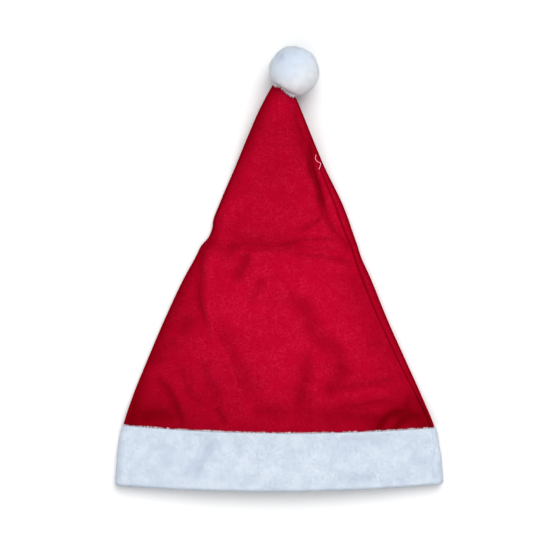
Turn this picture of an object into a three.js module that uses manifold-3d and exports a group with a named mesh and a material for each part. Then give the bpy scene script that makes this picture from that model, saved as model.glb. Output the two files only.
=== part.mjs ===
// A felt Santa hat that lies flat on its back: a hollow cone of thin felt, a plush band
// folded round the lower edge of the cone, and a stuffed plush pompom sewn to its tip.
// Units are millimetres. +X runs across the hat, +Y from its brim to its tip, +Z up.
import * as THREE from 'three';
import { mergeVertices } from 'three/addons/utils/BufferGeometryUtils.js';
import Module from 'manifold-3d';

// Crown: one sheet of felt, sewn up along one side
const crownWidth = 279;
const crownLength = 350;
const feltThickness = 1.2;
const hollowHeight = 17.5;
const sideBend = 0.8;
const edgeLift = 1.2;
const foldDepth = 2.4;
const foldWidth = 10;
const foldFreeEdge = 12;
const seamInset = 7.6;
const seamDepth = 1.3;
const seamWidth = 3;
const tipLiftLength = 95;

// Band: plush, flat against the crown outside, with a short hem turned up inside
const bandHeight = 51;
const bandThickness = 2.4;
const hemThickness = 1.4;
const hemHeight = 10;
const bandSettleLength = 40;

// Pompom: a stuffed ball whose cover is gathered where it meets the tip
const pompomDiameter = 45;
const pompomFlat = 0.5;
const poleFlattening = 6.3;
const pompomShift = -1;
const shoulderRadius = 7;
const tipDrop = 2;
const tuftLength = 0.7;
const tuftWidth = 11;
const tuftCount = 30;
const collarThickness = 1;
const collarRuffle = 0.8;
const collarPleats = 16;

// Gap between pieces that touch
const clearance = 0.3;

// Fineness of the facets
const crownPitch = 9;
const bandSteps = 6;
const frontColumns = 25;
const backColumns = 7;
const bendSteps = 4;
const hemFadeLength = 22;

// Outline of the crown from the hem (at 0) to the tip (at 1), seen from above.
// at and all y: shares of the crown's length. x: shares of its width. sag: how far the
// middle of the section lies below its ends. hollow: share of the hollow's height.
// seam: share of the seam's inset from the right edge. groove: share of its depth.
const sections = [
  { at: 0.000, leftX: -0.501, leftY: 0.015, rightX: 0.500, rightY: 0.018, sag: 0.0160, hollow: 0.54, seam: 0.66, groove: 0 },
  { at: 0.137, leftX: -0.491, leftY: 0.156, rightX: 0.487, rightY: 0.150, sag: 0.0157, hollow: 0.56, seam: 0.66, groove: 0.5 },
  { at: 0.211, leftX: -0.467, leftY: 0.226, rightX: 0.453, rightY: 0.221, sag: 0.0126, hollow: 0.80, seam: 0.80, groove: 1 },
  { at: 0.318, leftX: -0.416, leftY: 0.327, rightX: 0.395, rightY: 0.324, sag: 0.0075, hollow: 1.00, seam: 0.95, groove: 1 },
  { at: 0.422, leftX: -0.362, leftY: 0.428, rightX: 0.338, rightY: 0.426, sag: 0.0050, hollow: 1.00, seam: 1.00, groove: 1 },
  { at: 0.525, leftX: -0.303, leftY: 0.528, rightX: 0.286, rightY: 0.528, sag: 0.0025, hollow: 0.84, seam: 1.00, groove: 1 },
  { at: 0.588, leftX: -0.262, leftY: 0.588, rightX: 0.253, rightY: 0.588, sag: 0, hollow: 0.72, seam: 0.78, groove: 1 },
  { at: 0.609, leftX: -0.249, leftY: 0.609, rightX: 0.245, rightY: 0.609, sag: 0, hollow: 0.70, seam: 0.80, groove: 1 },
  { at: 0.629, leftX: -0.227, leftY: 0.629, rightX: 0.236, rightY: 0.629, sag: 0, hollow: 0.70, seam: 0.90, groove: 1 },
  { at: 0.650, leftX: -0.215, leftY: 0.650, rightX: 0.227, rightY: 0.650, sag: 0, hollow: 0.71, seam: 0.95, groove: 1 },
  { at: 0.676, leftX: -0.210, leftY: 0.676, rightX: 0.216, rightY: 0.676, sag: 0, hollow: 0.71, seam: 1.00, groove: 1 },
  { at: 0.709, leftX: -0.194, leftY: 0.709, rightX: 0.200, rightY: 0.709, sag: 0, hollow: 0.70, seam: 0.95, groove: 1 },
  { at: 0.810, leftX: -0.140, leftY: 0.810, rightX: 0.139, rightY: 0.810, sag: 0, hollow: 0.56, seam: 0.60, groove: 0.7 },
  { at: 0.893, leftX: -0.095, leftY: 0.896, rightX: 0.097, rightY: 0.890, sag: 0, hollow: 0.38, seam: 0.55, groove: 0 },
  { at: 0.962, leftX: -0.055, leftY: 0.966, rightX: 0.062, rightY: 0.958, sag: 0, hollow: 0.25, seam: 0.55, groove: 0 },
  { at: 1.000, leftX: -0.019, leftY: 1.018, rightX: 0.047, rightY: 0.986, sag: 0, hollow: 0.15, seam: 0.55, groove: 0 },
];

// Folds pressed into the front of the crown. line: points that the fold runs through,
// x and y in the same shares as the outline. height: share of the fold depth, negative
// for a valley. above and below: width of each flank as a share of the fold width.
const folds = [
  { name: 'packing crease', line: [[-0.209, 0.608], [-0.102, 0.606], [0.015, 0.611]], height: -1.0, above: 1.3, below: 0.45 },
  { name: 'fan, upper', line: [[0.010, 0.611], [0.081, 0.618], [0.168, 0.628]], height: -0.45, above: 0.5, below: 0.4 },
  { name: 'fan, lower', line: [[0.010, 0.609], [0.112, 0.583], [0.219, 0.563]], height: -0.45, above: 0.5, below: 0.35 },
  { name: 'fan, top', line: [[0.051, 0.645], [0.097, 0.664], [0.137, 0.686]], height: -0.45, above: 0.5, below: 0.4 },
  { name: 'seam pocket, top', line: [[0.090, 0.855], [0.095, 0.807], [0.122, 0.762], [0.135, 0.724], [0.143, 0.680]], height: -1.1, above: 0.45, below: 0.6 },
  { name: 'seam pocket, low', line: [[0.138, 0.700], [0.143, 0.670], [0.161, 0.643], [0.191, 0.618], [0.229, 0.575]], height: -0.95, above: 0.45, below: 0.6 },
  { name: 'left ridge, top', line: [[-0.210, 0.603], [-0.230, 0.550], [-0.232, 0.495], [-0.216, 0.430], [-0.187, 0.350]], height: 0.8, above: 1.0, below: 1.1 },
  { name: 'left ridge, low', line: [[-0.209, 0.410], [-0.173, 0.330], [-0.143, 0.262], [-0.110, 0.185], [-0.092, 0.130]], height: 0.7, above: 1.1, below: 1.3 },
  { name: 'valley by the left ridge', line: [[-0.183, 0.430], [-0.143, 0.360], [-0.102, 0.285]], height: -0.5, above: 0.8, below: 0.8 },
  { name: 'short valley, left', line: [[-0.122, 0.590], [-0.119, 0.550], [-0.127, 0.515]], height: -0.75, above: 0.7, below: 0.7 },
  { name: 'short valley, middle', line: [[-0.053, 0.515], [-0.069, 0.485], [-0.092, 0.460]], height: -0.45, above: 0.6, below: 0.5 },
  { name: 'hooked valley', line: [[-0.031, 0.474], [0.036, 0.474], [0.087, 0.428], [0.120, 0.377]], height: -0.7, above: 0.6, below: 0.9 },
  { name: 'hooked valley, tail', line: [[0.107, 0.385], [0.148, 0.335], [0.173, 0.280]], height: -0.6, above: 0.8, below: 1.2 },
  { name: 'wedge valley', line: [[0.112, 0.350], [0.076, 0.300], [0.046, 0.235], [0.031, 0.190]], height: -0.85, above: 0.7, below: 1.1 },
  { name: 'ripple, upper', line: [[0.153, 0.252], [0.219, 0.262], [0.305, 0.265]], height: -0.55, above: 0.6, below: 0.4 },
  { name: 'ripple, lower', line: [[0.209, 0.213], [0.270, 0.214], [0.351, 0.222]], height: -0.55, above: 0.6, below: 0.5 },
  { name: 'corner fold, inner', line: [[0.295, 0.150], [0.331, 0.185], [0.407, 0.220]], height: -0.95, above: 0.6, below: 0.7 },
  { name: 'corner fold, outer', line: [[0.341, 0.155], [0.392, 0.190], [0.453, 0.205]], height: -0.7, above: 0.5, below: 0.6 },
  { name: 'left corner, inner', line: [[-0.382, 0.275], [-0.331, 0.215], [-0.305, 0.150]], height: -0.8, above: 0.6, below: 0.7 },
  { name: 'left corner, outer', line: [[-0.443, 0.215], [-0.407, 0.190], [-0.366, 0.165]], height: -0.7, above: 0.8, below: 0.8 },
  { name: 'left side dent', line: [[-0.265, 0.500], [-0.290, 0.440], [-0.305, 0.380]], height: -0.5, above: 0.9, below: 0.9 },
  { name: 'dent by the band, left', line: [[-0.244, 0.245], [-0.219, 0.190], [-0.198, 0.145]], height: -0.45, above: 0.7, below: 0.7 },
];

// Dents in the front of the band, in the same form
const bandDents = [
  { name: 'long dent, left', line: [[-0.219, 0.130], [-0.239, 0.075], [-0.275, 0.015]], height: -0.45, above: 0.8, below: 0.8 },
  { name: 'dent, right', line: [[0.193, 0.115], [0.265, 0.118], [0.346, 0.115]], height: -0.3, above: 0.7, below: 0.7 },
  { name: 'low dent, right', line: [[0.204, 0.020], [0.254, 0.024], [0.305, 0.022]], height: -0.3, above: 0.8, below: 0.8 },
];

const bandTop = (bandHeight - clearance - bandThickness) / crownLength;
const bandWall = clearance + bandThickness;
const hemWall = clearance + hemThickness;

const smooth = (share) => THREE.MathUtils.smoothstep(share, 0, 1);

// Value of a column at a share of the length: a smooth curve through the table's rows,
// carried on in a straight line past its ends
function valueAt(rows, column, at) {
  const slope = (a, b) => (rows[b][column] - rows[a][column]) / (rows[b].at - rows[a].at);
  const last = rows.length - 1;
  if (at <= rows[0].at) return rows[0][column] + slope(0, 1) * (at - rows[0].at);
  if (at >= rows[last].at) return rows[last][column] + slope(last - 1, last) * (at - rows[last].at);
  const next = rows.findIndex((row) => row.at > at);
  const here = next - 1;
  const run = rows[next].at - rows[here].at;
  const tangent = (i) => {
    if (i === 0) return slope(0, 1);
    if (i === last) return slope(last - 1, last);
    const before = rows[i].at - rows[i - 1].at;
    const after = rows[i + 1].at - rows[i].at;
    return (slope(i - 1, i) * after + slope(i, i + 1) * before) / (before + after);
  };
  const t = (at - rows[here].at) / run;
  return rows[here][column] * (1 + 2 * t) * (1 - t) ** 2
    + rows[next][column] * t * t * (3 - 2 * t)
    + run * (tangent(here) * t * (1 - t) ** 2 - tangent(next) * t * t * (1 - t));
}

// The line that a fold runs along, as short straight stretches in millimetres
const foldStretches = 12;
for (const fold of [...folds, ...bandDents]) {
  const points = fold.line.map(([x, y]) => new THREE.Vector2(x * crownWidth, y * crownLength));
  fold.path = new THREE.SplineCurve(points).getPoints(foldStretches);
}

// Height that the folds add at a place on the front
function foldHeight(list, x, y) {
  let height = 0;
  for (const fold of list) {
    let nearest = Infinity;
    let along = 0;
    let side = 0;
    for (let i = 0; i < foldStretches; i += 1) {
      const a = fold.path[i];
      const b = fold.path[i + 1];
      const dx = b.x - a.x;
      const dy = b.y - a.y;
      const t = THREE.MathUtils.clamp(((x - a.x) * dx + (y - a.y) * dy) / (dx * dx + dy * dy), 0, 1);
      const distance = Math.hypot(x - a.x - dx * t, y - a.y - dy * t);
      if (distance < nearest) {
        nearest = distance;
        along = (i + t) / foldStretches;
        side = dx * (y - a.y) - dy * (x - a.x);
      }
    }
    const flank = foldWidth * (side > 0 ? fold.above : fold.below);
    const ends = smooth(along / 0.3) * smooth((1 - along) / 0.3);
    height += foldDepth * fold.height * ends * Math.exp(-((nearest / flank) ** 2) * 2);
  }
  return height;
}

// Size and place of the section at a share of the length
function sectionAt(at) {
  const value = (column) => valueAt(sections, column, at);
  const left = new THREE.Vector2(value('leftX') * crownWidth, value('leftY') * crownLength);
  const right = new THREE.Vector2(value('rightX') * crownWidth, value('rightY') * crownLength);
  const up = at * crownLength;
  const hemRoom = hemWall * (1 - smooth((up - hemHeight) / hemFadeLength));
  const bend = sideBend + feltThickness + hemRoom;
  return {
    left,
    width: left.distanceTo(right),
    across: right.clone().sub(left).normalize(),
    sag: value('sag') * crownLength,
    bend,
    bulge: hollowHeight * value('hollow') - 2 * sideBend,
    base: backHeight(up),
    seam: Math.max(value('seam') * seamInset, bend + seamWidth / 2 + 0.2),
    groove: seamDepth * THREE.MathUtils.clamp(value('groove'), 0, 1),
    front: smooth((up - bandHeight) / foldFreeEdge),
  };
}

// Height of the crown's back above the table: lifted by the band at one end and by the
// pompom at the other
const tipMiddle = pompomDiameter / 2 - pompomFlat - tipDrop;
const tipHalf = feltThickness + (hollowHeight * sections.at(-1).hollow) / 2;
function backHeight(up) {
  const overBand = 1 - smooth((up - bandHeight) / bandSettleLength);
  const towardsTip = smooth((up - crownLength + tipLiftLength) / tipLiftLength);
  return bandWall * overBand + (tipMiddle - tipHalf) * towardsTip;
}

// Point on the outside of the crown. The section runs from its right bend over the front
// to the left bend and back under: column names the stretch, share the place along it.
function crownPoint(section, stretch, share) {
  const { left, width, across, sag, bend, bulge, base } = section;
  let reach;
  let height;
  const flat = width - 2 * bend;
  const lift = (s) => edgeLift * Math.max(0, (Math.abs(2 * s - 1) - 0.6) / 0.4) ** 2;
  if (stretch === 'front') {
    reach = frontReach(section, share);
    const s = (reach - bend) / flat;
    height = 2 * bend + bulge * Math.sin(Math.PI * THREE.MathUtils.clamp(s, 0, 1)) ** 1.3 + lift(s);
  } else if (stretch === 'back') {
    reach = bend + flat * share;
    height = lift(share);
  } else {
    const angle = Math.PI * share;
    const isLeft = stretch === 'left';
    reach = isLeft ? bend - bend * Math.sin(angle) : width - bend + bend * Math.sin(angle);
    height = bend + (isLeft ? bend : -bend) * Math.cos(angle) + edgeLift;
  }
  const s = reach / width;
  const x = left.x + across.x * reach;
  const y = left.y + across.y * reach - sag * 4 * s * (1 - s);
  if (stretch === 'front') {
    const fromEdge = Math.min(reach - bend, width - bend - reach) / foldFreeEdge;
    height += foldHeight(folds, x, y) * smooth(fromEdge) * section.front;
    const groove = Math.max(0, 1 - Math.abs(width - reach - section.seam) / (seamWidth / 2));
    height -= section.groove * groove;
  }
  return new THREE.Vector3(x, y, base + height);
}

// Distance from the left edge of a front column. The first columns follow the seam.
const seamColumns = 4;
function frontReach({ width, bend, seam }, column) {
  const fromRight = [bend, seam - seamWidth / 2, seam, seam + seamWidth / 2];
  if (column <= seamColumns - 1) {
    const i = Math.min(Math.floor(column), seamColumns - 2);
    return width - THREE.MathUtils.lerp(fromRight[i], fromRight[i + 1], column - i);
  }
  const share = (column - seamColumns + 1) / (frontColumns - seamColumns + 1);
  return THREE.MathUtils.lerp(width - fromRight[seamColumns - 1], bend, share);
}

// Places round a section, in order: front from right to left, left bend, back, right bend
const places = [];
for (let i = 0; i < frontColumns; i += 1) places.push(['front', i]);
for (let i = 0; i < bendSteps; i += 1) places.push(['left', i / bendSteps]);
for (let i = 0; i < backColumns; i += 1) places.push(['back', i / backColumns]);
for (let i = 0; i < bendSteps; i += 1) places.push(['right', i / bendSteps]);

const ringAt = (at) => {
  const section = sectionAt(at);
  return places.map(([stretch, share]) => crownPoint(section, stretch, share));
};

// Ring of points at a share of the length, moved out along the felt's own normals
function offsetRing(at, offset) {
  const step = 0.5 / crownLength;
  const ring = ringAt(at);
  const before = ringAt(at - step);
  const after = ringAt(at + step);
  return ring.map((point, i) => {
    const last = ring.at(i - 1);
    const next = ring[(i + 1) % ring.length];
    const round = next.clone().sub(point).normalize().add(point.clone().sub(last).normalize());
    const along = after[i].clone().sub(before[i]);
    return along.cross(round).normalize().multiplyScalar(offset).add(point);
  });
}

// Closed surface through a row of rings with equal numbers of points. The row closes on
// itself, or its two ends are filled in.
function loft(rings, closed) {
  const count = rings[0].length;
  const points = rings.flat();
  const faces = [];
  const strips = closed ? rings.length : rings.length - 1;
  for (let r = 0; r < strips; r += 1) {
    for (let i = 0; i < count; i += 1) {
      const a = r * count + i;
      const b = r * count + ((i + 1) % count);
      const c = ((r + 1) % rings.length) * count + i;
      const d = ((r + 1) % rings.length) * count + ((i + 1) % count);
      faces.push(a, b, d, a, d, c);
    }
  }
  if (!closed) {
    for (const [ring, turn] of [[0, 1], [rings.length - 1, -1]]) {
      const middle = new THREE.Vector3();
      rings[ring].forEach((point) => middle.addScaledVector(point, 1 / count));
      points.push(middle);
      for (let i = 0; i < count; i += 1) {
        const a = ring * count + i;
        const b = ring * count + ((i + 1) % count);
        faces.push(points.length - 1, turn > 0 ? b : a, turn > 0 ? a : b);
      }
    }
  }
  const geometry = new THREE.BufferGeometry().setFromPoints(points);
  geometry.setIndex(faces);
  geometry.computeVertexNormals();
  return geometry;
}

// Crown: down the outside from the tip to the hem and up the inside, one wall thick
function crownGeometry() {
  const bandStations = Array.from({ length: bandSteps }, (_, i) => (bandTop * i) / bandSteps);
  const breaks = [bandTop, ...sections.map((row) => row.at).filter((at) => at > bandTop + 0.02)];
  const stations = breaks.slice(0, -1).flatMap((from, k) => {
    const steps = Math.ceil(((breaks[k + 1] - from) * crownLength) / crownPitch - 0.2);
    return Array.from({ length: steps }, (_, i) => THREE.MathUtils.lerp(from, breaks[k + 1], i / steps));
  });
  const outside = [...bandStations, ...stations, 1];
  const inside = [...bandStations, ...stations, 1 - feltThickness / crownLength];
  return loft([
    ...outside.reverse().map((at) => offsetRing(at, 0)),
    ...inside.map((at) => offsetRing(at, -feltThickness)),
  ], false);
}

// Band: its cross-section, taken round the lower edge of the crown. Each point is a
// height above the hem and a distance out from the crown's outside.
function bandGeometry() {
  const top = bandTop * crownLength;
  const inner = -feltThickness - hemWall;
  const wall = bandThickness;
  const heights = Array.from({ length: bandSteps - 1 }, (_, i) => (top * (i + 1)) / bandSteps);
  const turn = [-60, -20, 20, 60].map((degrees) => {
    const angle = THREE.MathUtils.degToRad(degrees);
    const middle = (bandWall + inner) / 2;
    return [-bandWall * Math.cos(angle), middle - ((bandWall - inner) / 2) * Math.sin(angle)];
  });
  const profile = [
    [top, clearance],
    [top, clearance + 0.45 * wall],
    [top - 0.15 * wall, clearance + 0.85 * wall],
    [top - 0.55 * wall, bandWall],
    ...heights.slice().reverse().map((height) => [height, bandWall]),
    [0, bandWall],
    ...turn,
    [0, inner],
    [hemHeight - 0.4 * hemThickness, inner],
    [hemHeight, inner + 0.4 * hemThickness],
    [hemHeight, -feltThickness - clearance],
    [0, -feltThickness - clearance],
    [-clearance, -feltThickness - 0.3 * clearance],
    [-clearance, 0.3 * clearance],
    [0, clearance],
    ...heights.map((height) => [height, clearance]),
  ];
  const rings = profile.map(([height, out]) => {
    const ring = offsetRing(height / crownLength, out);
    if (out < bandWall) return ring;
    return ring.map((point, i) => {
      if (places[i][0] !== 'front') return point;
      const dent = foldHeight(bandDents, point.x, point.y);
      return point.setZ(point.z + dent);
    });
  });
  return loft(rings, true);
}

// Solids that three.js shapes are turned into for joining and cutting
const wasm = await Module();
wasm.setup();

function solidOf(geometry) {
  const bare = geometry.clone();
  bare.deleteAttribute('normal');
  bare.deleteAttribute('uv');
  const merged = mergeVertices(bare);
  return new wasm.Manifold(new wasm.Mesh({
    numProp: 3,
    vertProperties: merged.attributes.position.array,
    triVerts: new Uint32Array(merged.index.array),
  }));
}

function geometryOf(solid) {
  const { vertProperties, triVerts } = solid.getMesh();
  const geometry = new THREE.BufferGeometry();
  geometry.setAttribute('position', new THREE.BufferAttribute(vertProperties, 3));
  geometry.setIndex(new THREE.BufferAttribute(triVerts, 1));
  geometry.computeVertexNormals();
  return geometry;
}

// Pompom, with the middle of the crown's tip at its origin and the ball along +Y
function pompomGeometry(tipWidth, shift, rise) {
  const radius = pompomDiameter / 2;
  const bodyRadius = radius - tuftLength;
  const pole = radius - poleFlattening;
  const seat = clearance + collarThickness;
  const centre = seat + pole;
  const sphereSteps = 10;
  const shoulderSteps = 2;
  const sides = 22;

  // The ball's outline: flat at the pole, round its shoulder, then the ball itself
  const shoulderReach = Math.sqrt((bodyRadius - shoulderRadius) ** 2 - (pole - shoulderRadius) ** 2);
  const meet = Math.atan2(shoulderReach, pole - shoulderRadius);
  const outline = [new THREE.Vector2(0, -pole)];
  for (let i = 0; i <= shoulderSteps; i += 1) {
    const angle = (meet * i) / shoulderSteps;
    outline.push(new THREE.Vector2(
      shoulderReach + shoulderRadius * Math.sin(angle),
      -(pole - shoulderRadius) - shoulderRadius * Math.cos(angle),
    ));
  }
  for (let i = 1; i < sphereSteps; i += 1) {
    const angle = THREE.MathUtils.lerp(meet, Math.PI, i / sphereSteps);
    outline.push(new THREE.Vector2(bodyRadius * Math.sin(angle), -bodyRadius * Math.cos(angle)));
  }
  outline.push(new THREE.Vector2(0, bodyRadius));
  let ball = solidOf(new THREE.LatheGeometry(outline, sides)).translate([shift, centre, rise]);

  // Low tufts of pile over the ball, clear of the pole
  const tuft = new THREE.IcosahedronGeometry(1, 0).scale(tuftWidth / 2, tuftWidth / 2, 2 * tuftLength);
  const goldenAngle = Math.PI * (3 - Math.sqrt(5));
  const firstTuft = 0.985;
  const lastTuft = 0.12 - Math.cos(meet);
  for (let i = 0; i < tuftCount; i += 1) {
    const height = THREE.MathUtils.lerp(firstTuft, lastTuft, i / (tuftCount - 1));
    const girth = Math.sqrt(1 - height * height);
    const around = goldenAngle * i;
    const out = new THREE.Vector3(girth * Math.cos(around), height, girth * Math.sin(around));
    const turn = new THREE.Quaternion().setFromUnitVectors(new THREE.Vector3(0, 0, 1), out);
    const place = new THREE.Vector3(shift, centre, rise).addScaledVector(out, bodyRadius - tuftLength);
    const placed = tuft.clone().applyQuaternion(turn).translate(place.x, place.y, place.z);
    ball = ball.add(solidOf(placed));
  }

  // Collar: the gathered edge of the cover, pleated round the tip
  const collarPoints = collarPleats * 4;
  const collarOutline = Array.from({ length: collarPoints }, (_, i) => {
    const angle = (2 * Math.PI * i) / collarPoints;
    const ruffle = collarRuffle * Math.cos(collarPleats * angle);
    return new THREE.Vector2(
      (tipWidth / 2 + ruffle) * Math.cos(angle),
      (tipHalf + collarThickness + ruffle) * Math.sin(angle),
    );
  });
  const intoBall = 1.5;
  const collar = new THREE.ExtrudeGeometry(new THREE.Shape(collarOutline), {
    depth: collarThickness + intoBall,
    bevelEnabled: false,
  });
  collar.rotateX(-Math.PI / 2).translate(0, clearance, 0);
  return ball.add(solidOf(collar));
}

const felt = new THREE.MeshStandardMaterial({ color: 0xbe0a2c, roughness: 0.95, metalness: 0 });
const plush = new THREE.MeshStandardMaterial({ color: 0xdbe4f0, roughness: 0.9, metalness: 0 });
const pompomPlush = new THREE.MeshStandardMaterial({ color: 0xe2eaf4, roughness: 0.9, metalness: 0 });

const crown = new THREE.Mesh(crownGeometry(), felt);
crown.name = 'crown';

const band = new THREE.Mesh(bandGeometry(), plush);
band.name = 'band';

// The pompom sits square on the slanting end of the crown and rests on the table
const tip = sectionAt(1);
const tipCentre = tip.left.clone().addScaledVector(tip.across, tip.width / 2);
const ballRise = pompomDiameter / 2 - pompomFlat - tipMiddle;
const uncut = pompomGeometry(tip.width, pompomShift, ballRise);
const reach = 2 * pompomDiameter;
const table = solidOf(new THREE.BoxGeometry(reach, reach, pompomDiameter))
  .translate([0, reach / 2, -pompomDiameter / 2 - tipMiddle]);
const pompom = new THREE.Mesh(geometryOf(uncut.subtract(table)), pompomPlush);
pompom.name = 'pompom';

const pompomSeat = new THREE.Group();
pompomSeat.position.set(tipCentre.x, tipCentre.y, tipMiddle);
pompomSeat.rotation.z = Math.atan2(tip.across.y, tip.across.x);
pompomSeat.add(pompom);

const hat = new THREE.Group();
hat.add(crown, band, pompomSeat);

// The origin is on the table, under the middle of the hat
const box = new THREE.Box3().setFromObject(hat, true);
const middle = box.getCenter(new THREE.Vector3());
hat.position.set(-middle.x, -middle.y, 0);

export default hat;
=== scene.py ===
"""A felt Santa hat that lies flat on its back, seen from straight above."""
import math

import bmesh
import bpy
import numpy as np
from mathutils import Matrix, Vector, noise


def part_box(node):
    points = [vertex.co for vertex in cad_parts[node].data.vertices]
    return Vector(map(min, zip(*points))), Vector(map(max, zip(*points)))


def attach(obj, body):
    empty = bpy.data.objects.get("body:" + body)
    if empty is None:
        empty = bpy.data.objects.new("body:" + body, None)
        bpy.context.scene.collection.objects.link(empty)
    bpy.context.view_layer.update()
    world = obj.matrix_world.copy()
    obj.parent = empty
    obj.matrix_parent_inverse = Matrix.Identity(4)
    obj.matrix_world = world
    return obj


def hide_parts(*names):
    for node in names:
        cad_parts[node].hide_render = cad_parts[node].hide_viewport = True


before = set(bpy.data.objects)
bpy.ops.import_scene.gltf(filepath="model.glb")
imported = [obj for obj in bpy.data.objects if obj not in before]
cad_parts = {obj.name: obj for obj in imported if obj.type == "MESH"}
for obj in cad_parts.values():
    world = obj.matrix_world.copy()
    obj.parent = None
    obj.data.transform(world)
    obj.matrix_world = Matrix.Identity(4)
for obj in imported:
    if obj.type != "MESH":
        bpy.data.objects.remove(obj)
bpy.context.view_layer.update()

# Crown
# One piece of thin non-woven felt, folded over and sewn up along its right side into a
# flat cone. It keeps the creases of the pack that it was folded in. Sizes are in
# millimetres, and the tables hold shares of the crown's width and length.

crown_width = 279
crown_length = 350
felt = 1.2
hollow_height = 17.5
side_bend = 0.8
edge_lift = 1.2
edge_start = 0.6
fold_depth = 4.3
fold_width = 10
fold_end = 0.3
fold_free_edge = 8
fold_free_hem = 5
seam_inset = 7.6
seam_depth = 1.1
seam_width = 0.65
seam_room = 1.7
back_room = 0.8
tip_lift_length = 95
tip_middle = 20
hem_room = 1.7
hem_height = 10
hem_fade = 22
band_height = 51
band_thickness = 2.4
clearance = 0.3
band_wall = clearance + band_thickness
band_settle = 40

# Points round the crown: across the front past the seam, across the back, round each side,
# and on both sides of the seam's groove, in millimetres from it
front_steps, back_steps, bend_steps = 150, 46, 9
beside_seam = np.array([-2.2, -1.5, -1.0, -0.6, -0.3, 0, 0.3, 0.6, 1.0, 1.5, 2.2])

# Each section's ends, left and right, the sag of its middle towards the hem, and its shares
# of the hollow's height, the seam's inset and the groove's depth
SECTION = ("at", "left_x", "left_y", "right_x", "right_y", "sag", "hollow", "seam", "groove")
sections = np.array([
    (0.000, -0.510, 0.015, 0.504, 0.018, 0.0160, 0.54, 0.45, 0.0),
    (0.137, -0.495, 0.156, 0.489, 0.150, 0.0157, 0.56, 0.48, 0.7),
    (0.211, -0.467, 0.226, 0.453, 0.221, 0.0126, 0.80, 0.62, 1.0),
    (0.318, -0.416, 0.327, 0.395, 0.324, 0.0075, 1.00, 0.88, 1.0),
    (0.422, -0.362, 0.428, 0.338, 0.426, 0.0050, 1.00, 1.00, 1.0),
    (0.525, -0.303, 0.528, 0.286, 0.528, 0.0025, 0.84, 1.00, 1.0),
    (0.588, -0.262, 0.588, 0.253, 0.588, 0.0000, 0.72, 0.78, 1.0),
    (0.609, -0.249, 0.609, 0.245, 0.609, 0.0000, 0.70, 0.80, 1.0),
    (0.629, -0.227, 0.629, 0.236, 0.629, 0.0000, 0.70, 0.90, 1.0),
    (0.650, -0.215, 0.650, 0.227, 0.650, 0.0000, 0.71, 0.95, 1.0),
    (0.676, -0.210, 0.676, 0.216, 0.676, 0.0000, 0.71, 1.00, 1.0),
    (0.709, -0.194, 0.709, 0.200, 0.709, 0.0000, 0.70, 0.95, 1.0),
    (0.810, -0.140, 0.810, 0.139, 0.810, 0.0000, 0.56, 0.60, 0.7),
    (0.893, -0.095, 0.896, 0.097, 0.890, 0.0000, 0.38, 0.55, 0.0),
    (0.962, -0.055, 0.966, 0.062, 0.958, 0.0000, 0.25, 0.55, 0.0),
    (1.000, -0.019, 1.018, 0.047, 0.986, 0.0000, 0.15, 0.55, 0.0),
])

# What else changes along the crown, as pairs of a share of its length and a value: how full
# its front is, and how much shade is painted on the whole front, by the left side, in the
# sewn strip at the right and beside that strip
along_crown = {
    "fullness": ((0.50, 0.85), (0.70, 0.55)),
    "pressed": ((0.00, 0.0), (0.55, 0.0), (0.70, 0.12), (0.90, 0.18), (1.00, 0.0)),
    "flank": ((0.50, 0.30), (0.62, 0.0), (0.80, 0.0), (0.95, 0.25), (1.00, 0.1)),
    "strip": ((0.50, 0.40), (0.70, 0.15)),
    "beside": ((0.50, 0.38), (0.62, 0.0)),
}

# Where else shade is painted on the felt, at its edges, seam and lower corners, above the
# band and underneath: how dark, and how far in millimetres the mark reaches
left_edge_shade, left_edge_reach = 0.45, 8
right_edge_shade, right_edge_reach = 0.45, 2.5
flank_spread = 0.14
beside_reach = 22
groove_shade, groove_reach = 0.4, 0.9
left_corner_shade, left_corner_reach = 0.19, 50
right_corner_shade, right_corner_reach = 0.15, 42
low_shade, low_reach = 0.36, 48
back_shade = 0.9
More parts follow.
